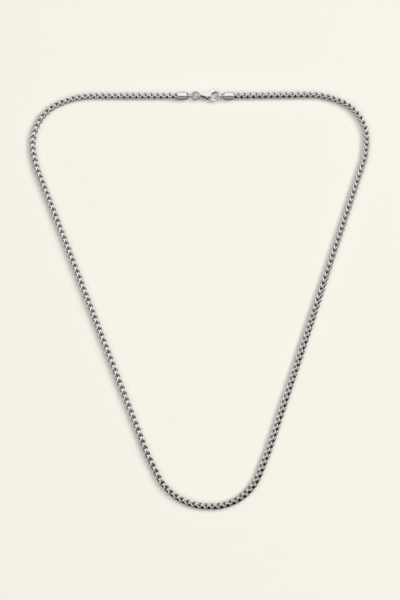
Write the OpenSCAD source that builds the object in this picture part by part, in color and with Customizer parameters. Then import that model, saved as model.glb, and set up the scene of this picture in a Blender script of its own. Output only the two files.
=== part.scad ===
// Franco chain necklace, clasped and lying flat in a long rounded triangle.
// The clasp's line runs along X, the chain hangs away from it towards -Y, and the floor is z = 0.
// The chain is a bar with the outline of its links, square with rounded edges, turning slowly on its line.

/* [Loop] */
// Width of the loop that the chain's line makes, over the corners of its route
loop_w = 156; // [150:1:170]
// How far the chain's line hangs below the clasp's line
loop_drop = 189; // [180:1:205]

/* [Chain] */
// Width of the square chain across its flats
chain_w = 2.8; // [2.4:0.1:3]
// Radius of the rounded edges of the chain's square
edge_r = 0.8; // [0.6:0.05:1]
// Largest distance between two sections of the chain's outline on a straight leg
leg_step = 14; // [12:1:20]
// Largest distance between two sections in a bend
bend_step = 5; // [5:0.5:8]
// How far the chain's narrowed end reaches into an end cap
chain_insert = 2; // [1:0.1:2.3]
// Length over which the chain narrows in front of an end cap
narrow_len = 0.4; // [0.3:0.1:1]
// Length over which the chain rises from the surface to the middle of an end cap
rise_len = 8; // [5:1:15]

/* [End caps] */
// Outside diameter of the end cap's barrel
cap_d = 3.6; // [3.4:0.1:4]
// Length of the barrel
cap_len = 4.1; // [3.6:0.1:5]
// Wall of the barrel
cap_wall = 0.25; // [0.2:0.05:0.4]
// Depth of the barrel's bore
cap_bore_depth = 2.4; // [2.4:0.1:3]
// Length of the shoulder that narrows to the loop
shoulder_len = 0.8; // [0.6:0.1:1.2]
// Diameter of the shoulder where it meets the loop
neck_d = 1.3; // [1:0.1:1.6]
// Inside diameter of the cap's upright loop
loop_hole_d = 1.8; // [1.8:0.05:2]
// Wire of the cap's loop
loop_wire_d = 0.5; // [0.45:0.05:0.6]

/* [Jump ring] */
// Outside diameter of the jump ring
ring_d = 4.1; // [3.8:0.1:4.6]
// Wire of the jump ring
ring_wire_d = 0.7; // [0.5:0.05:0.8]

/* [Clasp] */
// From the middle of the clasp's tail loop to the middle of its round end
clasp_reach = 6.9; // [6.6:0.1:7.4]
// Height of the clasp's round end above the line of its tail
clasp_rise = 0.1; // [0:0.05:0.5]
// Outside radius of the clasp's round end
bulb_r = 2.68; // [2.6:0.02:2.9]
// Wire of the hook
hook_wire_d = 0.94; // [0.86:0.02:1]
// Thickness of the clasp where the lever sits
clasp_t = 3.2; // [2.8:0.1:3.4]
// Radius of the slim end of the clasp's cheeks, beside the tail loop
tail_r = 0.6; // [0.5:0.05:0.75]
// Inside diameter of the tail loop
tail_hole_d = 1.2; // [1.1:0.05:1.3]
// Wire of the tail loop
tail_wire_d = 0.55; // [0.45:0.05:0.6]
// How far the clasp's cheeks reach past the lever's boss
cheek_lap = 0.3; // [0.2:0.05:0.4]
// How much wider the clasp's cheeks are than the hook's wire, on each side
cheek_rim = 0.05; // [0.04:0.01:0.1]
// Radius of the clasp's crown across its width
crown_across_r = 4.4; // [4:0.1:6]
// Radius of the clasp's crown along its length
crown_along_r = 17; // [15:0.5:22]
// How far the crown along the length stands above the crown across
crown_lift = 0.1; // [0.06:0.01:0.2]

/* [Lever] */
// From the middle of the tail loop to the lever's pin
pin_reach = 3.35; // [3.2:0.05:3.5]
// How far the pin lies below the line of the tail
pin_drop = 0.65; // [0.5:0.05:0.75]
// Diameter of the pin
pin_d = 0.6; // [0.5:0.05:0.7]
// Thickness of the lever
lever_t = 1.2; // [1:0.05:1.4]
// Radius of the lever's round boss
boss_r = 0.72; // [0.65:0.01:0.8]
// Length of the lever from its pin to its tip
lever_len = 4.5; // [4.3:0.05:4.6]
// Depth of the lever's arm
arm_depth = 0.75; // [0.6:0.05:0.8]
// How far the thumb tab stands from the pin
tab_reach = 1.35; // [1.2:0.05:1.6]
// Radius of the thumb tab's end
tab_r = 0.34; // [0.25:0.01:0.45]
// Widest swing of the lever
lever_swing = 20; // [10:1:22]

/* [Fits] */
// Side gap between the lever and its slot
slot_gap = 0.1; // [0.08:0.01:0.15]
// Gap round the pin in the lever
pin_gap = 0.05; // [0.03:0.01:0.07]
// Gap where a loop, ring or hook bears on another
bearing_gap = 0.05; // [0.03:0.01:0.1]
// Gap between the lever's tip and the hook's nose
nose_gap = 0.1; // [0.06:0.01:0.15]

/* [Hidden] */
$fn = 72;

// The route's corners in order from the left cap to the right one. Columns: x as a share of the loop's width,
// y as a share of its drop, and the bend's radius as a share of its width.
corner_shares = [
    [-0.362, 0, 0.257], [-0.503, -0.05, 0.131], [-0.487, -0.161, 0.256], [-0.157, -0.868, 0.558],
    [-0.083, -0.995, 0.167], [0.135, -1, 0.147], [0.202, -0.862, 0.628], [0.487, -0.148, 0.103],
    [0.5, -0.045, 0.122], [0.369, 0.003, 0.222]];
// The chain's turn on its own line, as [share of its length, degrees].
turn_stops = [
    [0, 118], [0.07, 112], [0.12, 92], [0.2, 76], [0.46, 74], [0.52, 40], [0.67, 42], [0.75, 82],
    [0.85, 84], [0.89, 90], [0.94, 122], [1, 124]];

loop_hole_r = loop_hole_d / 2;
tail_hole_r = tail_hole_d / 2;
ring_mean_r = (ring_d - ring_wire_d) / 2;
hook_mean_r = bulb_r - hook_wire_d / 2;
bore_r = cap_d / 2 - cap_wall;
// Height of the middle of the caps, the jump ring and the clasp, which lie level.
line_h = max(cap_d, clasp_t) / 2;

// Places along the clasp's line, worked out from the jump ring to both sides.
ring_x = -2;
left_loop_x = ring_x - ring_mean_r + ring_wire_d / 2 + bearing_gap - loop_hole_r;
tail_x = ring_x + ring_mean_r - ring_wire_d / 2 - bearing_gap + tail_hole_r;
bulb = [tail_x + clasp_reach, clasp_rise];
pin = [tail_x + pin_reach, -pin_drop];
right_loop_x = bulb.x + hook_mean_r - hook_wire_d / 2 - 2 * bearing_gap + loop_hole_r;
loop_to_mouth = loop_hole_r + loop_wire_d / 2 + shoulder_len + cap_len;
left_mouth_x = left_loop_x - loop_to_mouth;
right_mouth_x = right_loop_x + loop_to_mouth;

// The route: straight legs between the corners, each corner rounded by its own radius.
route = concat([[left_mouth_x + chain_insert, 0]], [for (c = corner_shares) [c.x * loop_w, c.y * loop_drop]],
               [[right_mouth_x - chain_insert, 0]]);
last = len(route) - 1;
function leg_dir(i) = (route[i] - route[i - 1]) / norm(route[i] - route[i - 1]);
function turn(i) = let (u = leg_dir(i), v = leg_dir(i + 1)) atan2(cross(u, v), u * v);
function bend_r(i) = corner_shares[i - 1][2] * loop_w;
function cut_back(i) = i == 0 || i == last ? 0 : bend_r(i) * tan(abs(turn(i)) / 2);
function leg_len(i) = norm(route[i] - route[i - 1]) - cut_back(i - 1) - cut_back(i);
function bend_len(i) = i == last ? 0 : bend_r(i) * abs(turn(i)) * PI / 180;
function running(i) = i == 0 ? 0 : running(i - 1) + leg_len(i) + bend_len(i);
leg_end = [for (i = [0 : last]) running(i)];
chain_len = leg_end[last];

// A place on the route at distance s from its start: [x, y, heading].
function on_leg(i, s) = concat(route[i - 1] + leg_dir(i) * (cut_back(i - 1) + s),
                               atan2(leg_dir(i).y, leg_dir(i).x));
function on_bend(i, s) =
    let (r = bend_r(i), side = sign(turn(i)), u = leg_dir(i), swept = s / r * 180 / PI,
         heading = atan2(u.y, u.x) + side * swept,
         hub = route[i] - u * cut_back(i) + side * r * [-u.y, u.x])
    concat(hub + side * r * [sin(heading), -cos(heading)], heading);
function place(s) =
    let (i = min([for (k = [1 : last]) if (s <= leg_end[k] + 0.001) k]), along = s - leg_end[i - 1])
    i == last || along <= leg_len(i) ? on_leg(i, along) : on_bend(i, along - leg_len(i));
function roll(s) = lookup(s / chain_len, turn_stops);

// The chain's outline across, an eight-sided bar that fits its rounded edges.
half_w = chain_w / 2;
corner_r = (half_w - edge_r) * sqrt(2) + edge_r;
flat = corner_r * sqrt(2) - half_w;
outline = [[half_w, -flat], [half_w, flat], [flat, half_w], [-flat, half_w],
           [-half_w, flat], [-half_w, -flat], [-flat, -half_w], [flat, -half_w]];
sides = len(outline);
// Half its height when it lies on the floor, turned by a.
function half_height(a) = max([for (q = outline) q.x * sin(a) + q.y * cos(a)]);

// Sections as [distance, size]: narrow ones inside each cap, and even steps on each leg and bend.
end_scale = (bore_r - 2 * bearing_gap) / corner_r;
front = chain_insert + narrow_len;
risen = front + rise_len;
function even(from, length, step) = let (n = max(1, ceil(length / step)))
    [for (k = [1 : n]) [from + length * k / n, 1]];
along_route = [for (i = [1 : last]) let (leg_start = i == 1 ? risen : leg_end[i - 1],
                                         leg_stop = leg_end[i] - bend_len(i) - (i == last ? risen : 0))
    each concat(even(leg_start, leg_stop - leg_start, leg_step),
                i == last ? [] : even(leg_stop, bend_len(i), bend_step))];
stations = concat([[0, end_scale], [chain_insert, end_scale], [front, 1], [risen, 1]], along_route,
                  [[chain_len - front, 1], [chain_len - chain_insert, end_scale], [chain_len, end_scale]]);
// The height of the chain's line at distance s: on the surface, and level with the caps at both ends.
function line_z(s) =
    let (rise = max(0, risen - max(front, min(s, chain_len - s))) / rise_len, resting = half_height(roll(s)))
    resting + (line_h - resting) * rise;
function section(s, size) =
    let (p = place(s), a = roll(s), across = [-sin(p[2]), cos(p[2])])
    [for (q = size * outline) let (t = q.x * cos(a) - q.y * sin(a), h = q.x * sin(a) + q.y * cos(a))
        [p.x + across.x * t, p.y + across.y * t, line_z(s) + h]];

// The part's own middle, so that the origin lies under it.
spots = [for (st = stations) place(st[0])];
low = [min([for (p = spots) p.x]) - half_w, min([for (p = spots) p.y]) - corner_r];
high = [max([for (p = spots) p.x]) + half_w, bulb.y + bulb_r];
middle = (low + high) / 2;

module chain() {
    rings = [for (st = stations) section(st[0], st[1])];
    n = len(rings);
    color("silver") polyhedron(
        points = [for (r = rings) each r],
        faces = concat(
            [[for (j = [0 : sides - 1]) j]],
            [for (k = [0 : n - 2], j = [0 : sides - 1]) let (m = (j + 1) % sides)
                [k * sides + j, (k + 1) * sides + j, (k + 1) * sides + m, k * sides + m]],
            [[for (j = [sides - 1 : -1 : 0]) (n - 1) * sides + j]]));
}

module torus(mean_r, wire_r) { rotate_extrude() translate([mean_r, 0]) circle(wire_r, $fn = 36); }

// An end cap with its mouth towards -X: barrel, shoulder and upright loop, the loop's middle at the origin.
module end_cap() {
    mouth = -loop_to_mouth;
    color("gainsboro") {
        rotate([0, 90, 0]) rotate_extrude() polygon([
            [0, mouth + cap_bore_depth], [bore_r, mouth + cap_bore_depth], [bore_r, mouth],
            [cap_d / 2, mouth], [cap_d / 2, mouth + cap_len], [neck_d / 2, mouth + cap_len + shoulder_len],
            [0, mouth + cap_len + shoulder_len]]);
        rotate([90, 0, 0]) torus(loop_hole_r + loop_wire_d / 2, loop_wire_d / 2);
    }
}

module end_cap_left() { translate([left_loop_x, 0, line_h]) end_cap(); }

module end_cap_right() { translate([right_loop_x, 0, line_h]) mirror([1, 0, 0]) end_cap(); }

module jump_ring() {
    color("silver") translate([ring_x, 0, line_h]) torus(ring_mean_r, ring_wire_d / 2);
}

function dir(angle) = [cos(angle), sin(angle)];

// The straight band that touches two circles on their outer sides.
module band(a, ra, b, rb) {
    d = b - a;
    lean = asin((ra - rb) / norm(d));
    heading = atan2(d.y, d.x);
    up = dir(heading + 90 - lean);
    down = dir(heading - 90 + lean);
    polygon([a + up * ra, a + down * ra, b + down * rb, b + up * rb]);
    translate(a) circle(ra);
    translate(b) circle(rb);
}

// The cheeks' outline starts just behind the tail loop's hole.
cheek_x = tail_x + tail_hole_r + tail_r + 2 * bearing_gap;
module clasp_outline() { band([cheek_x, clasp_rise / 2], tail_r, bulb, bulb_r + cheek_rim); }

// The gap in the hook's ring that the lever closes, below the opening and clear of the pin's cheeks.
cheek_r = boss_r + cheek_lap;
gate_h = 2 * bulb_r - hook_mean_r / 2;
// How far the arm's upper edge lies below the pin's line when the lever is shut, and the slot's upper edge,
// which leaves room for the arm at the end of its swing.
arm_fall = 4;
slot_top = lever_swing - arm_fall;
module gate() {
    difference() {
        intersection() {
            translate(pin) circle(lever_len + nose_gap);
            translate([pin.x - boss_r, bulb.y - 2 * bulb_r]) square([3 * bulb_r, gate_h]);
        }
        translate(pin) circle(cheek_r);
    }
}

// What lies between two crowns of radius r, one above and one below, each rising to height h.
module between_crowns(r, h) {
    intersection_for(side = [-1, 1])
        translate([0, 0, side * (h - r)]) cylinder_across(r);
}
module cylinder_across(r) { rotate([90, 0, 0]) cylinder(r = r, h = 6 * clasp_reach, center = true); }

module clasp_body() {
    opening_r = hook_mean_r - hook_wire_d / 2 - cheek_rim;
    slot_t = lever_t + 2 * slot_gap;
    color("gainsboro") translate([0, 0, line_h]) {
        difference() {
            intersection() {
                linear_extrude(2 * clasp_t, center = true) difference() {
                    clasp_outline();
                    translate(bulb) circle(opening_r);
                    translate([bulb.x, bulb.y - 2 * bulb_r]) square(4 * bulb_r);
                    gate();
                }
                translate([0, bulb.y, 0]) rotate([0, 0, 90]) between_crowns(crown_across_r, clasp_t / 2);
                translate([pin.x, 0, 0]) between_crowns(crown_along_r, clasp_t / 2 + crown_lift);
            }
            linear_extrude(slot_t, center = true) {
                slot_r = boss_r + slot_gap;
                translate(pin) circle(slot_r);
                polygon([pin + slot_r * dir(110), pin + lever_len * dir(slot_top), pin + lever_len * dir(-45),
                         pin + lever_len * dir(-100), pin + lever_len * dir(-160), pin + slot_r * dir(-200)]);
            }
            translate([pin.x, pin.y, 0]) cylinder(r = pin_d / 2, h = 2 * clasp_t, center = true);
        }
        difference() {
            translate([bulb.x, bulb.y, 0]) rotate([0, 0, -80]) rotate_extrude(angle = 175)
                translate([hook_mean_r, 0]) circle(hook_wire_d / 2, $fn = 36);
            linear_extrude(clasp_t, center = true) gate();
        }
        translate([tail_x, 0, 0]) rotate([90, 0, 0]) torus(tail_hole_r + tail_wire_d / 2, tail_wire_d / 2);
    }
}

module clasp_lever() {
    arm_r = hook_mean_r + arm_depth / 2;
    color("silver") translate([0, 0, line_h]) difference() {
        linear_extrude(lever_t, center = true) {
            intersection() {
                translate(bulb) difference() {
                    circle(arm_r);
                    circle(arm_r - arm_depth);
                }
                translate(pin) circle(lever_len);
                translate([pin.x + boss_r, bulb.y - 2 * bulb_r]) square([2 * bulb_r, 1.6 * bulb_r]);
            }
            band(pin, boss_r, bulb + hook_mean_r * dir(-150), arm_depth / 2);
            band(pin, boss_r * 0.8, pin + tab_reach * dir(-135), tab_r);
        }
        translate([pin.x, pin.y, 0]) cylinder(r = pin_d / 2 + pin_gap, h = 2 * lever_t, center = true);
    }
}

module clasp_pin() {
    color("silver") translate([pin.x, pin.y, line_h]) cylinder(r = pin_d / 2, h = clasp_t, center = true);
}

translate([-middle.x, -middle.y, 0]) {
    chain();
    end_cap_left();
    end_cap_right();
    jump_ring();
    clasp_body();
    clasp_lever();
    clasp_pin();
}
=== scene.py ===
# Franco chain necklace in polished silver, clasped and laid out on a pale surface.
import bmesh
import bpy
import numpy as np
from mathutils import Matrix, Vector


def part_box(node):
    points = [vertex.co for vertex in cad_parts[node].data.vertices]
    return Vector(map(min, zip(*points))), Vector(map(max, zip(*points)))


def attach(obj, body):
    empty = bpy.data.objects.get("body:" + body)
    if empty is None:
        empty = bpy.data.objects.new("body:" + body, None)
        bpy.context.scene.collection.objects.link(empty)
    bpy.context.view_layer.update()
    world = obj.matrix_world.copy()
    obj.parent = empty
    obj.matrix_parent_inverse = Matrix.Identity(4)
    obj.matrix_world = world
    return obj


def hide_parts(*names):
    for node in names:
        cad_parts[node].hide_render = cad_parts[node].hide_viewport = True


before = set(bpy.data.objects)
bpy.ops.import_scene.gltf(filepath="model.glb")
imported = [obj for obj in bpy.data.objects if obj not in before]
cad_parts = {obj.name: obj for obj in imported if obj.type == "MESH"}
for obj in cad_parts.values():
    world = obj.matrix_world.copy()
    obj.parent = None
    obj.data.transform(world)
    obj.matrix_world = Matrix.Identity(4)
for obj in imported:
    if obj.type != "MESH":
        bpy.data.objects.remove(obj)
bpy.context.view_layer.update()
mm = 0.001

# Places on the clasp, in millimetres from its zero, which lies to the right of the jump ring's middle.
clasped = {
    "zeroFromRing": 2,
    "leftLoop": -4.2,     # the middles of the caps' loops, along x
    "rightLoop": 9.34,
    "pin": [3.25, -0.65],
}
ringLow, ringHigh = [np.array(side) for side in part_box("jump_ring")]
zero = (ringLow + ringHigh) / 2 + [clasped["zeroFromRing"] * mm, 0, 0]


def meshPiece(name, points, faces, material):
    # A smoothly shaded mesh from an array of n x 3 points and an array of m x 4 corner numbers.
    mesh = bpy.data.meshes.new(name)
    mesh.from_pydata(points, [], faces.tolist())
    mesh.polygons.foreach_set("use_smooth", np.ones(len(faces), bool))
    mesh.materials.append(material)
    mesh.update()
    piece = bpy.data.objects.new(name, mesh)
    bpy.context.scene.collection.objects.link(piece)
    return piece


def gridFaces(rows, columns, closedRows=False):
    # Quads of a grid of points numbered row by row. Rows are closed, and the last may join the first.
    r = np.arange(rows if closedRows else rows - 1)[:, None]
    c = np.arange(columns)[None, :]
    nextR, nextC = (r + 1) % rows, (c + 1) % columns
    corners = [r * columns + c, nextR * columns + c, nextR * columns + nextC, r * columns + nextC]
    return np.stack([np.broadcast_to(q, (r.size, c.size)) for q in corners], -1).reshape(-1, 4)


def joined(parts):
    # One list of points and one of faces from several grids.
    points = np.concatenate([p for p, f in parts])
    starts = np.cumsum([0] + [len(p) for p, f in parts[:-1]])
    return points, np.concatenate([f + start for (p, f), start in zip(parts, starts)])


def filleted(corners, steps=5):
    # A profile of [along, out, fillet radius]: each corner is cut back by r * tan(turn / 2) and made an arc.
    corners = np.array(corners, float)
    profile = [corners[0, :2]]
    for before, here, after in zip(corners[:-2], corners[1:-1], corners[2:]):
        u, v = here[:2] - before[:2], after[:2] - here[:2]
        u, v = u / np.linalg.norm(u), v / np.linalg.norm(v)
        turn = np.arctan2(u[0] * v[1] - u[1] * v[0], u @ v)
        start = here[:2] - u * here[2] * np.tan(abs(turn) / 2)
        side = np.sign(turn) * np.array([-u[1], u[0]])
        for a in np.linspace(0, abs(turn), steps):
            profile.append(start + here[2] * (u * np.sin(a) + side * (1 - np.cos(a))))
    profile.append(corners[-1, :2])
    return np.array(profile)


def turned(profile, columns):
    # The profile turned round the X axis: (along, out * cos a, out * sin a).
    a = 2 * np.pi * np.arange(columns) / columns
    along, out = profile[:, :1], profile[:, 1:]
    points = np.stack([np.broadcast_to(along, (len(profile), columns)), out * np.cos(a), out * np.sin(a)], -1)
    return points.reshape(-1, 3), gridFaces(len(profile), columns)


def ringOf(mean, wire, rows, columns, swelling=None):
    # A torus about the Z axis: ((R + r cos b) cos a, (R + r cos b) sin a, r sin b).
    a = 2 * np.pi * np.arange(rows)[:, None] / rows
    b = 2 * np.pi * np.arange(columns)[None, :] / columns
    r = wire / 2 * np.ones_like(a) if swelling is None else wire / 2 * swelling(a)
    out = mean + r * np.cos(b)
    points = np.stack([out * np.cos(a), out * np.sin(a), r * np.sin(b)], -1).reshape(-1, 3)
    return points, gridFaces(rows, columns, closedRows=True)


# Polished silver. Grain is the scale of the cloudy shine, lines the height of the polishing lines in
# metres, and dark the two depths in millimetres between which the colour fades to painted shade.
silver = {
    "chain_silver": {
        "color": (0.9, 0.9, 0.91), "roughness": 0.08, "uneven": 0.06, "grain": 700, "lines": 0.0000012,
        "dark": [0.18, 0.7], "shadeColor": (0.022, 0.021, 0.02)},
    "fitting_silver": {
        "color": (0.9, 0.9, 0.9), "roughness": 0.1, "uneven": 0.1, "grain": 500, "lines": 0.000001},
    # the jump ring's is a darker copy, painted shade standing for the dark surroundings that it reflects
    "ring_shaded_silver": {
        "color": (0.48, 0.48, 0.5), "roughness": 0.08, "uneven": 0.08, "grain": 500, "lines": 0.000001},
    # the clasp's fades to painted shade where its casting's shade depth says
    "clasp_silver": {
        "color": (0.92, 0.92, 0.93), "roughness": 0.09, "uneven": 0.08, "grain": 450, "lines": 0.0000015,
        "dark": [0.0, 0.45], "shadeColor": (0.09, 0.09, 0.1)},
}
# What all of it shares.
polish = {
    "cloud": {"Detail": 4.0, "Roughness": 0.6},
    "cloudLow": 0.3,
    "cloudHigh": 0.7,
    "below": 0.35,      # shares of the unevenness that lie below and above the mean roughness
    "above": 0.65,
    "drawn": {"Scale": (2500, 9000, 700), "Rotation": (0.3, 0.2, 0.5)},   # the way of the polishing lines
    "lineDetail": 3.0,
    "yellower": [0.97, 0.955, 0.92],
    "toneSize": 6,      # how many times larger the yellower places are than the clouds
    "toneDetail": 2.0,
}


def wired(tree, kind, links, **values):
    # A node of the given kind with its inputs set from values or from other nodes' outputs.
    node = tree.nodes.new(kind)
    for name, value in values.items():
        node.inputs[name.replace("_", " ")].default_value = value
    for name, output in links.items():
        tree.links.new(output, node.inputs[name])
    return node


def mixedColors(tree, factor, first, second, blend="MIX"):
    # Two colours mixed by a factor. Each of the three is a fixed value or another node's output.
    mix = tree.nodes.new("ShaderNodeMix")
    mix.data_type = "RGBA"
    mix.blend_type = blend
    for name, given in zip(("Factor", "A", "B"), (factor, first, second)):
        if isinstance(given, bpy.types.NodeSocket):
            tree.links.new(given, mix.inputs[name])
        else:
            mix.inputs[name].default_value = given
    return mix.outputs["Result"]


def polishedSilver(slot):
    # Noise sets the roughness, bump and tone, and the colour fades to painted shade by smoothstep of the
    # shade depth.
    look = silver[slot]
    material = bpy.data.materials.new(slot + "_polished")
    material.use_nodes = True
    tree = material.node_tree
    shader = tree.nodes["Principled BSDF"]
    shader.inputs["Metallic"].default_value = 1
    place = tree.nodes.new("ShaderNodeTexCoord").outputs["Object"]
    # cloudy unevenness of the shine
    cloud = wired(tree, "ShaderNodeTexNoise", {"Vector": place}, Scale=look["grain"], **polish["cloud"])
    shine = wired(tree, "ShaderNodeMapRange", {"Value": cloud.outputs["Fac"]},
                  From_Min=polish["cloudLow"], From_Max=polish["cloudHigh"],
                  To_Min=look["roughness"] - look["uneven"] * polish["below"],
                  To_Max=look["roughness"] + look["uneven"] * polish["above"])
    tree.links.new(shine.outputs["Result"], shader.inputs["Roughness"])
    # fine polishing lines, noise drawn out along one way
    drawn = wired(tree, "ShaderNodeMapping", {"Vector": place}, **polish["drawn"])
    fine = wired(tree, "ShaderNodeTexNoise", {"Vector": drawn.outputs["Vector"]},
                 Scale=1.0, Detail=polish["lineDetail"])
    bump = wired(tree, "ShaderNodeBump", {"Height": fine.outputs["Fac"]},
                 Strength=1.0, Distance=look["lines"])
    tree.links.new(bump.outputs["Normal"], shader.inputs["Normal"])
    # a slightly yellower tone in places
    broad = wired(tree, "ShaderNodeTexNoise", {"Vector": place},
                  Scale=look["grain"] / polish["toneSize"], Detail=polish["toneDetail"])
    yellower = [part * share for part, share in zip(look["color"], polish["yellower"])]
    color = mixedColors(tree, broad.outputs["Fac"], (*look["color"], 1), (*yellower, 1))
    # painted shade: the colour fades to the shade colour by the shade depth attribute
    if "dark" in look:
        deep = tree.nodes.new("ShaderNodeAttribute")
        deep.attribute_name = "shadeDepth"
        share = wired(tree, "ShaderNodeMapRange", {"Value": deep.outputs["Fac"]},
                      From_Min=look["dark"][0], From_Max=look["dark"][1])
        share.interpolation_type = "SMOOTHSTEP"
        color = mixedColors(tree, share.outputs["Result"], color, (*look["shadeColor"], 1))
    tree.links.new(color, shader.inputs["Base Color"])
    return material


def smoothly(piece, levels):
    # Every face is divided into four, as often as the levels say.
    sub = piece.modifiers.new("smooth", "SUBSURF")
    sub.levels = levels
    sub.render_levels = levels


# The route of the chain, from inside the left cap round to inside the right one, in millimetres.
route = {
    "width": 156,
    "drop": 189,
    "ends": [-8.25, 13.39],   # along x from zero
    # x as a share of the width, y as a share of the drop, and the bend's radius as a share of the width
    "corners": [
        [-0.362, 0, 0.257], [-0.503, -0.05, 0.131], [-0.487, -0.161, 0.256], [-0.157, -0.868, 0.558],
        [-0.083, -0.995, 0.167], [0.135, -1, 0.147], [0.202, -0.862, 0.628], [0.487, -0.148, 0.103],
        [0.5, -0.045, 0.122], [0.369, 0.003, 0.222]],
    "step": 0.1,
}


def bentLine(start, heading, lengths, turns, step):
    # Walks a line made of arcs: the heading turns evenly over each length, and a place is the sum of steps.
    knots = np.concatenate([[0], np.cumsum(lengths)])
    headings = heading + np.concatenate([[0], np.cumsum(turns)])
    count = int(np.ceil(knots[-1] / step)) + 1
    s = np.linspace(0, knots[-1], count)
    middle = np.interp((s[1:] + s[:-1]) / 2, knots, headings)
    stepVectors = np.stack([np.cos(middle), np.sin(middle)], 1) * (s[1] - s[0])
    places = np.vstack([[start], start + np.cumsum(stepVectors, 0)])
    return s, places, np.interp(s, knots, headings)


def chainRoute():
    # Legs between the corners, each corner cut back by r * tan(turn / 2) and rounded by an arc of radius r.
    corners = np.array(route["corners"]) * [route["width"], route["drop"], route["width"]]
    stops = np.vstack([[route["ends"][0], 0], corners[:, :2], [route["ends"][1], 0]])
    legs = np.diff(stops, axis=0)
    headings = np.unwrap(np.arctan2(legs[:, 1], legs[:, 0]))
    turns = np.diff(headings)
    cut = corners[:, 2] * np.tan(np.abs(turns) / 2)
    straight = np.linalg.norm(legs, axis=1) - np.append(cut, 0) - np.insert(cut, 0, 0)
    lengths = np.zeros(2 * len(straight) - 1)
    lengths[0::2] = straight
    lengths[1::2] = corners[:, 2] * np.abs(turns)
    steps = np.zeros(len(lengths))
    steps[1::2] = turns
    return bentLine(stops[0], headings[0], lengths, steps, route["step"])


# The links, in millimetres and degrees; along the chain, values are given as [share of its length, value].
chain = {
    "side": 2.8,        # across the flats
    "wire": 0.68,
    "pinchGap": 0.05,   # between the two wires of a link's fold
    "lean": 12,         # how far the two legs lean in
    "neck": 53,         # how far the wire opens from the fold to a leg's head
    "walkStep": 0.002,  # along a link's centreline
    "links": 194,
    "stations": 20,
    "wireSides": 6,
    # how far the links are turned on the chain's line
    "turnStops": [[0, 118], [0.07, 112], [0.12, 92], [0.2, 76], [0.46, 74], [0.52, 40],
                  [0.67, 42], [0.75, 82], [0.85, 84], [0.89, 90], [0.94, 122], [1, 124]],
    # the pitch as a share of the mean one
    "pitchStops": [[0, 1.01], [0.05, 1.0], [0.12, 0.965], [0.19, 0.965], [0.32, 1.02], [0.46, 1.08],
                   [0.52, 1.03], [0.6, 1.02], [0.74, 0.95], [0.83, 0.89], [0.88, 0.92], [0.94, 0.98],
                   [1, 0.98]],
    "pitchSamples": 4000,
    # how much deeper every point counts for the painted shade, which is darker on some runs of the chain
    "extraShade": [[0, 0], [0.4, 0], [0.45, 0.17], [0.54, 0.22], [0.58, 0.07], [0.68, 0.07],
               [0.74, 0.15], [0.8, 0.14], [0.86, 0.07], [1, 0.06]],
    "wobble": 1.6,      # how far single links are turned from the run of their neighbours
    "seed": 11,
    "endScale": 0.88,
    "taper": [1.5, 4],  # from the chain's end, where its links are at the end scale and at their full size
    "rise": [2.4, 10.4],  # from the chain's end, where it leaves the caps' height and where it is down
}


def linkWire():
    # One link's centreline and its sheet normals. A flat loop with two round heads on pinched necks is walked
    # by its curvature, and folded round an arc into two legs: x across, y through, z along the chain.
    r = (chain["side"] - chain["wire"]) / 2
    pinch = (chain["wire"] + chain["pinchGap"]) / 2
    neck, lean = np.radians([chain["neck"], chain["lean"]])
    neckR = (r * np.cos(neck) - pinch) / (1 - np.cos(neck))
    rail = r * (np.pi / 2 + lean)
    half = [rail, neckR * neck, r * (np.pi + 2 * neck), neckR * neck, rail]
    bend = [0, neck, -np.pi - 2 * neck, neck, 0]
    s, flat, _ = bentLine(np.array([0, pinch]), 0, half * 2, bend * 2, chain["walkStep"])
    total = s[-1]
    # station 0 is the tip of the first head, a quarter of the way round
    at = (np.arange(chain["stations"]) / chain["stations"] * total + total / 4) % total
    u, v = [np.interp(at, s, flat[:, k]) for k in range(2)]
    a = np.clip(u / r, -np.pi / 2 - lean, np.pi / 2 + lean)
    beyond = np.abs(u) - np.abs(a) * r
    x = r * np.sin(a) - np.sign(u) * beyond * np.sin(lean)
    z = r - r * np.cos(a) + beyond * np.cos(lean)
    normal = np.stack([np.sin(a), 0 * a, -np.cos(a)], 1)
    print("a link's wire:", round(total, 2), "mm")
    return np.stack([x, v, z], 1), normal


def throughPoints(points):
    # Control points of the closed smooth curve that passes through the points, from its circulant matrix.
    k = np.arange(len(points))
    weight = (4 + 2 * np.cos(2 * np.pi * k / len(points))) / 6
    return np.fft.ifft(np.fft.fft(points, axis=0) / weight[:, None], axis=0).real


def closedWire(points, normals, radius, sides):
    # A ring of points round each station of a closed centreline, fitted so that it subdivides to the radius.
    tangent = np.roll(points, -1, 0) - np.roll(points, 1, 0)
    tangent -= normals * (tangent * normals).sum(1, keepdims=True)
    tangent /= np.linalg.norm(tangent, axis=1, keepdims=True)
    side = np.cross(tangent, normals)
    fitted = radius / ((2 + np.cos(2 * np.pi / sides)) / 3)
    a = 2 * np.pi * np.arange(sides) / sides
    ring = np.cos(a)[None, :, None] * normals[:, None] + np.sin(a)[None, :, None] * side[:, None]
    return throughPoints(points)[:, None] + fitted * ring


def along(name, share):
    # The value at a share of the chain's length, on straight lines between the stops.
    stops = np.array(chain[name])
    return np.interp(share, stops[:, 0], stops[:, 1])


def linkPlaces(total, length):
    # The pitch changes along the chain: the running sum of 1 / pitch is shared evenly by the links.
    s = np.linspace(0, total, chain["pitchSamples"])
    running = np.cumsum(1 / along("pitchStops", s / total))
    running = (running - running[0]) / (running[-1] - running[0])
    first, last = np.interp([length / 2, total - length / 2], s, running)
    return np.interp(np.linspace(first, last, chain["links"]), running, s)


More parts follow.
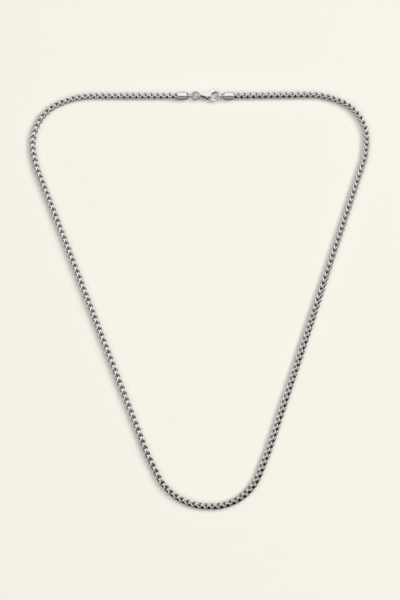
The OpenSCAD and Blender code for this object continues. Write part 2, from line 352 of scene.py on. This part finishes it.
def makeChain(material):
    # Each point of a link's wire goes to place + scale * (x * xAxis + y * yAxis) + z * forward.
    s, places, headings = chainRoute()
    centres, normals = linkWire()
    wire = closedWire(centres, normals, chain["wire"] / 2, chain["wireSides"]).reshape(-1, 3)
    total, length = s[-1], wire[:, 2].max()
    at = linkPlaces(total, length)
    count = len(at)
    x, y, heading = [np.interp(at, s, values) for values in (places[:, 0], places[:, 1], headings)]
    chance = np.random.default_rng(chain["seed"])
    roll = np.radians(along("turnStops", at / total) + chain["wobble"] * chance.uniform(-1, 1, count))
    nearEnd = np.minimum(at, total - at)
    scale = np.interp(nearEnd, chain["taper"], [chain["endScale"], 1])
    # across the chain's line, level and upright, and both turned by the roll
    forward = np.stack([np.cos(heading), np.sin(heading), 0 * heading], 1)
    left = np.stack([-np.sin(heading), np.cos(heading), 0 * heading], 1)
    up = np.array([[0, 0, 1]])
    xAxis = np.cos(roll)[:, None] * left + np.sin(roll)[:, None] * up
    yAxis = np.cos(roll)[:, None] * up - np.sin(roll)[:, None] * left
    # resting on the surface, and level with the caps' middle at both ends
    resting = -np.array([(xAxis[k, 2] * wire[:, 0] + yAxis[k, 2] * wire[:, 1]).min() for k in range(count)])
    share = np.clip((chain["rise"][1] - nearEnd) / (chain["rise"][1] - chain["rise"][0]), 0, 1)
    z = resting + (zero[2] / mm - resting) * share * share * (3 - 2 * share)
    local = wire - [0, 0, length / 2]
    across = local[None, :, :1] * xAxis[:, None] + local[None, :, 1:2] * yAxis[:, None]
    points = (np.stack([x, y, z], 1)[:, None] + scale[:, None, None] * across
              + local[None, :, 2:] * forward[:, None])
    points = points.reshape(-1, 3) * mm + [zero[0], zero[1], 0]
    one = gridFaces(chain["stations"], chain["wireSides"], closedRows=True)
    faces = (one[None] + (np.arange(count) * len(wire))[:, None, None]).reshape(-1, 4)
    piece = meshPiece("chain_links", points, faces, material)
    # how deep each point lies under the chain's flats, which the material darkens as painted shade
    shadeDepth = chain["side"] / 2 - np.maximum(np.abs(wire[:, 0]), np.abs(wire[:, 1]))
    shadeDepth = shadeDepth[None] + along("extraShade", at / total)[:, None]
    piece.data.attributes.new("shadeDepth", "FLOAT", "POINT").data.foreach_set("value", shadeDepth.ravel())
    smoothly(piece, 1)
    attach(piece, "necklace")
    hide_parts("chain")
    pitch = np.diff(at)
    print("chain:", count, "links on", round(total, 1), "mm,",
          "pitch", round(pitch.min(), 2), "to", round(pitch.max(), 2))


# End caps: barrel, shoulder and upright loop, in millimetres from the loop's middle, the mouth towards -X.
# A corner of the barrel is [along, out, fillet radius].
cap = {
    "barrel": [[-3.65, 0, 0], [-3.65, 1.55, 0.1], [-6.05, 1.55, 0.09], [-6.05, 1.8, 0.13], [-1.95, 1.8, 0.2],
               [-1.2, 0.74, 0.25], [-0.98, 0.6, 0.1], [-0.9, 0, 0]],
    "columns": 64,
    "loopMean": 1.15,
    "loopWire": 0.5,
    "loopRows": 48,
    "loopColumns": 16,
}


def makeCap(node, where, facing, material):
    # The turned barrel with a torus stood upright. The cap that faces the other way is the mirror image in x.
    barrel = turned(filleted(cap["barrel"]), cap["columns"])
    loop, loopFaces = ringOf(cap["loopMean"], cap["loopWire"], cap["loopRows"], cap["loopColumns"])
    points, faces = joined([barrel, (loop[:, [0, 2, 1]], loopFaces)])
    if facing < 0:
        points, faces = points * [-1, 1, 1], faces[:, ::-1]
    piece = meshPiece(node + "_polished", points * mm + zero + [where * mm, 0, 0], faces, material)
    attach(piece, "necklace")
    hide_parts(node)
    print(node + ": barrel and loop")


# The jump ring, in millimetres, with the place and width of its seam in radians.
ring = {
    "mean": 1.7, "wire": 0.7, "rows": 72, "columns": 20,
    "seamAt": -1.9, "seamSwell": 0.05, "seamWidth": 0.12,
}


def makeRing(material):
    # The soldered seam is a slight swelling, 1 + swell * exp(-(angle / width)^2).
    def swelling(a):
        away = (a - ring["seamAt"] + np.pi) % (2 * np.pi) - np.pi
        return 1 + ring["seamSwell"] * np.exp(-(away / ring["seamWidth"]) ** 2)

    points, faces = ringOf(ring["mean"], ring["wire"], ring["rows"], ring["columns"], swelling)
    middle = zero - [clasped["zeroFromRing"] * mm, 0, 0]
    piece = meshPiece("jump_ring_polished", points * mm + middle, faces, material)
    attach(piece, "necklace")
    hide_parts("jump_ring")
    print("jump ring: seam soldered")


# Castings: the clasp's body and lever, with their edges worn round, in millimetres from zero.
casting = {
    "weld": 0.001,
    "smoothing": 0.5,   # how far a point goes to its neighbours' middle in each round
    "clasp_body": {
        "cell": 0.05, "rounds": 16, "rides": "necklace",
        # the palm thins towards the hook's wire, over x and y from zero, down to the half wire
        "thin": {"x": [4.4, 6.9], "y": [0.2, 1.3], "to": 0.46},
        # the cheeks are bevelled down to the half height along their lower edge, a line that touches the
        # circle, and get painted shade there from the first fade to the second, over x
        "bevel": {"hub": [1.2, 0.05], "radius": 0.6, "angle": -111.9, "width": 0.65, "to": 0.85,
                  "fades": [[0.1, 1.0], [4.1, 4.5]]},
        # the hook's top is thicker: its inner edge is moved in, most at the middle angle
        "thick": {"hub": [6.8, 0.1], "radii": [1.6, 2.65], "least": 0.5,
                  "inward": 0.5, "angle": 100, "spread": 75},
        # painted shade inside the hook's opening
        "shadeSpot": {"hub": [6.8, 0], "radius": 2.2, "most": 0.45, "angle": 70, "spread": 160}},
    "clasp_lever": {
        "cell": 0.04, "rounds": 5, "rides": "lever",
        # painted shade round the pin
        "shadeSpot": {"hub": clasped["pin"], "radius": 2.4, "most": 0.22, "angle": -100, "spread": 200}},
}


def smoothstep(value, start, end):
    # 0 up to the start, 1 from the end on, and 3 t^2 - 2 t^3 between them.
    share = np.clip((value - start) / (end - start), 0, 1)
    return share * share * (3 - 2 * share)


def thinned(points, thin):
    # The height over the half wire is scaled by 1 - smoothstep(x) * smoothstep(y).
    local = points - zero / mm
    over = np.maximum(np.abs(local[:, 2]) - thin["to"], 0)
    share = smoothstep(local[:, 0], *thin["x"]) * smoothstep(local[:, 1], *thin["y"])
    points[:, 2] -= np.sign(local[:, 2]) * over * share
    return points


def fromEdge(local, bevel):
    # Distance inside the line that touches the circle at the given angle.
    a = np.radians(bevel["angle"])
    return bevel["radius"] - (local[:, :2] - bevel["hub"]) @ [np.cos(a), np.sin(a)]


def bevelled(points, bevel):
    # The height over the flat is scaled by smoothstep of the distance from the lower edge.
    local = points - zero / mm
    over = np.maximum(np.abs(local[:, 2]) - bevel["to"], 0)
    points[:, 2] -= np.sign(local[:, 2]) * over * (1 - smoothstep(fromEdge(local, bevel), 0, bevel["width"]))
    return points


def thickened(points, thick):
    # Points are moved towards the hub by inward * share * cos^2 of the angle's share: share is 0 at the
    # outer radius and 1 at the inner one. Under the least radius they move less.
    local = points[:, :2] - zero[:2] / mm - thick["hub"]
    radius = np.linalg.norm(local, axis=1)
    away = np.degrees(np.arctan2(local[:, 1], local[:, 0])) - thick["angle"]
    bump = np.cos(np.clip(away / thick["spread"], -1, 1) * np.pi / 2) ** 2
    share = np.clip((thick["radii"][1] - radius) / (thick["radii"][1] - thick["radii"][0]), 0, 1)
    points[:, :2] -= local * (thick["inward"] * bump * share / np.maximum(radius, thick["least"]))[:, None]
    return points


def shaped(points, look):
    # The changes that a casting has settings for, one after another.
    for name, change in {"thin": thinned, "bevel": bevelled, "thick": thickened}.items():
        if name in look:
            points = change(points, look[name])
    return points


def darkness(mesh, look):
    # What the material darkens as painted shade: how far a point lies inside the shade spot's radius round
    # the hub, up to a limit and fading with the angle, and how near it lies to the bevelled edge.
    shadeSpot = look["shadeSpot"]
    points = np.empty(len(mesh.vertices) * 3)
    mesh.vertices.foreach_get("co", points)
    local = (points.reshape(-1, 3) - zero) / mm
    arm = local[:, :2] - shadeSpot["hub"]
    away = np.degrees(np.arctan2(arm[:, 1], arm[:, 0])) - shadeSpot["angle"]
    bump = np.cos(np.clip(away / shadeSpot["spread"], -1, 1) * np.pi / 2)
    dark = np.clip(shadeSpot["radius"] - np.linalg.norm(arm, axis=1), 0, shadeSpot["most"]) * bump
    if "bevel" in look:
        near = np.clip(look["bevel"]["width"] - fromEdge(local, look["bevel"]), 0, shadeSpot["most"])
        shares = [smoothstep(local[:, 0], *fade) for fade in look["bevel"]["fades"]]
        dark = np.maximum(dark, near * (shares[0] - shares[1]))
    return dark


def evaluated(mesh, kind, **settings):
    # The mesh with one modifier applied.
    carrier = bpy.data.objects.new("carrier", mesh)
    bpy.context.scene.collection.objects.link(carrier)
    modifier = carrier.modifiers.new("step", kind)
    for name, value in settings.items():
        setattr(modifier, name, value)
    result = bpy.data.meshes.new_from_object(carrier.evaluated_get(bpy.context.evaluated_depsgraph_get()))
    bpy.data.objects.remove(carrier)
    return result


def movePoints(mesh, change):
    # Every point of the mesh goes where the change puts it.
    points = np.empty(len(mesh.vertices) * 3)
    mesh.vertices.foreach_get("co", points)
    mesh.vertices.foreach_set("co", change(points.reshape(-1, 3)).ravel())


def makeCasting(node, material):
    # The node's own solid is built anew from small cells, reshaped, and smoothed in rounds.
    look = casting[node]
    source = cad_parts[node]
    raw = source.data.copy()
    shape = bmesh.new()
    shape.from_mesh(raw)
    shape.transform(source.matrix_world)
    for vertex in shape.verts:
        vertex.co /= mm
    bmesh.ops.remove_doubles(shape, verts=shape.verts, dist=casting["weld"])
    shape.to_mesh(raw)
    shape.free()
    cells = evaluated(raw, "REMESH", mode="VOXEL", voxel_size=look["cell"])
    movePoints(cells, lambda points: shaped(points, look))
    finished = evaluated(cells, "SMOOTH", factor=casting["smoothing"], iterations=look["rounds"])
    movePoints(finished, lambda points: points * mm)
    # painted shade in the hook's opening, round the pin and along the lower edge, which the material darkens
    finished.attributes.new("shadeDepth", "FLOAT", "POINT").data.foreach_set("value", darkness(finished, look))
    finished.polygons.foreach_set("use_smooth", np.ones(len(finished.polygons), bool))
    finished.materials.clear()
    finished.materials.append(material)
    finished.update()
    piece = bpy.data.objects.new(node + "_cast", finished)
    bpy.context.scene.collection.objects.link(piece)
    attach(piece, look["rides"])
    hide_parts(node)
    print(node + ":", len(finished.polygons), "faces")


# The rivet, in millimetres from the clasp's middle height: a shank with a low round head on each side.
rivet = {
    "shank": 0.3, "head": 0.36, "top": 1.62, "columns": 40,
    "dome": 0.06, "rim": 0.08, "seat": 0.1,   # how far under its top the head's dome, rim and seat end
    "domeSteps": 7,
}


def makeRivet(material):
    # The dome is (top - dome + dome * sin a, head * cos a). The profile is mirrored and turned about z.
    head, top = rivet["head"], rivet["top"]
    a = np.linspace(0, np.pi / 2, rivet["domeSteps"])
    dome = np.stack([top - rivet["dome"] + rivet["dome"] * np.sin(a), head * np.cos(a)], 1)[::-1]
    side = np.vstack([dome, [[top - rivet["rim"], head], [top - rivet["seat"], rivet["shank"]]]])
    profile = np.vstack([side, side[::-1] * [-1, 1]])[::-1]
    points, faces = turned(profile, rivet["columns"])
    points = points[:, [1, 2, 0]] + [*clasped["pin"], 0]
    piece = meshPiece("clasp_pin_polished", points * mm + zero, faces, material)
    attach(piece, "necklace")
    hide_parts("clasp_pin")
    print("rivet: two heads")


# The surface that it lies on: plain pale paper, with its size and the height of its fibres in metres.
surface = {
    "size": 6, "color": (0.9, 0.87, 0.79), "roughness": 0.9,
    "fibres": {"Scale": 900, "Detail": 3.0}, "relief": {"Strength": 0.15, "Distance": 0.00005},
}


def makeFloor():
    # One square round the origin, with a noise of fibres as its relief.
    material = bpy.data.materials.new("cream_paper")
    material.use_nodes = True
    tree = material.node_tree
    shader = tree.nodes["Principled BSDF"]
    shader.inputs["Base Color"].default_value = (*surface["color"], 1)
    shader.inputs["Roughness"].default_value = surface["roughness"]
    shader.inputs["Specular IOR Level"].default_value = 0
    place = tree.nodes.new("ShaderNodeTexCoord").outputs["Object"]
    fibre = wired(tree, "ShaderNodeTexNoise", {"Vector": place}, **surface["fibres"])
    bump = wired(tree, "ShaderNodeBump", {"Height": fibre.outputs["Fac"]}, **surface["relief"])
    tree.links.new(bump.outputs["Normal"], shader.inputs["Normal"])
    half = surface["size"] / 2
    corners = np.array([[-half, -half, 0], [half, -half, 0], [half, half, 0], [-half, half, 0]])
    floor = meshPiece("floor", corners, np.array([[0, 1, 2, 3]]), material)
    floor.visible_glossy = False


# The picture: what the frame covers at the necklace's height, and its middle below the clasp's line.
picture = {"height": 275.4 * mm, "below": 93.68 * mm, "lens": 85, "sensor": 24}


def makeCamera():
    # Straight down from height * lens / sensor, where the covered height just fills the picture.
    data = bpy.data.cameras.new("camera")
    data.lens = picture["lens"]
    data.sensor_width = picture["sensor"]
    distance = picture["height"] * picture["lens"] / picture["sensor"]
    camera = bpy.data.objects.new("camera", data)
    camera.location = (zero[0], zero[1] - picture["below"], zero[2] + distance)
    bpy.context.scene.collection.objects.link(camera)
    bpy.context.scene.camera = camera


# Soft boxes light the surface, and the studio round it, brightest behind, is seen in the silver.
lights = [
    # name, way towards it, distance, width and height in metres, watts, and True where only the silver
    # shows it, False where only the paper does
    ["key", (0.9, 0.4, 1.0), 4.5, 2.25, 2.25, 112, False],
    ["fill", (0, 0, 1), 1.6, 3.2, 3.2, 38, False],
    ["gleam", (0.9, 0.4, 1.0), 3.0, 1.5, 1.5, 4, True],
]
studio = {
    "strength": 1.0,
    "soft": 0.1,        # half the height over which the horizon is blurred
    # brightness by how far the direction points to +Y, above the horizon and below it
    "above": [[-1, 0.3], [-0.75, 0.4], [-0.52, 0.42], [-0.44, 0.05], [-0.17, 0.04], [-0.06, 0.9], [1, 1.0]],
    "below": [[-1, 0.2], [-0.7, 0.18], [-0.3, 0.08], [0.6, 0.08], [0.85, 0.3], [0.96, 0.9]],
    # what the sides add above the horizon, by how far the direction points to +X
    "sides": [[-1, 0.55], [-0.75, 0.48], [-0.38, 0], [0.5, 0], [1, 0.2]],
}


def makeLights():
    # Each box stands at its distance on the way towards it, and faces the origin.
    for name, towards, distance, width, height, watts, shown in lights:
        data = bpy.data.lights.new(name, "AREA")
        data.shape = "RECTANGLE"
        data.size = width
        data.size_y = height
        data.energy = watts
        light = bpy.data.objects.new(name, data)
        direction = Vector(towards).normalized()
        light.location = direction * distance
        light.rotation_mode = "QUATERNION"
        light.rotation_quaternion = direction.to_track_quat("Z", "Y")
        light.visible_glossy = shown
        light.visible_diffuse = not shown
        bpy.context.scene.collection.objects.link(light)


def makeStudio():
    # The sum of the bands above the horizon fades to the band below it, over the height of the direction.
    world = bpy.data.worlds.new("studio")
    world.use_nodes = True
    tree = world.node_tree
    place = tree.nodes.new("ShaderNodeTexCoord").outputs["Generated"]
    way = wired(tree, "ShaderNodeSeparateXYZ", {"Vector": place})

    def band(axis, stops):
        # a ramp over one part of the direction, from -1 to 1
        share = wired(tree, "ShaderNodeMapRange", {"Value": way.outputs[axis]}, From_Min=-1.0, From_Max=1.0)
        ramp = wired(tree, "ShaderNodeValToRGB", {"Fac": share.outputs["Result"]})
        elements = ramp.color_ramp.elements
        while len(elements) < len(stops):
            elements.new(0.5)   # their places are set below
        for element, (reach, brightness) in zip(elements, stops):
            element.position = (reach + 1) / 2
            element.color = (brightness, brightness, brightness, 1)
        return ramp.outputs["Color"]

    height = wired(tree, "ShaderNodeMapRange", {"Value": way.outputs["Z"]},
                   From_Min=-studio["soft"], From_Max=studio["soft"])
    above = mixedColors(tree, 1, band("Y", studio["above"]), band("X", studio["sides"]), "ADD")
    whole = mixedColors(tree, height.outputs["Result"], band("Y", studio["below"]), above)
    tree.links.new(whole, tree.nodes["Background"].inputs["Color"])
    tree.nodes["Background"].inputs["Strength"].default_value = studio["strength"]
    world.cycles_visibility.diffuse = False
    bpy.context.scene.world = world
    bpy.context.scene.view_settings.view_transform = "Standard"


chainSilver, fittingSilver, shadedRingSilver, claspSilver = [polishedSilver(slot) for slot in silver]
makeChain(chainSilver)
makeCap("end_cap_left", clasped["leftLoop"], 1, fittingSilver)
makeCap("end_cap_right", clasped["rightLoop"], -1, fittingSilver)
# the jump ring in the darker copy of the silver, painted shade
makeRing(shadedRingSilver)
makeCasting("clasp_body", claspSilver)
makeCasting("clasp_lever", claspSilver)
makeRivet(claspSilver)
makeFloor()
makeLights()
makeStudio()
makeCamera()
print("stage: surface, lights and camera")
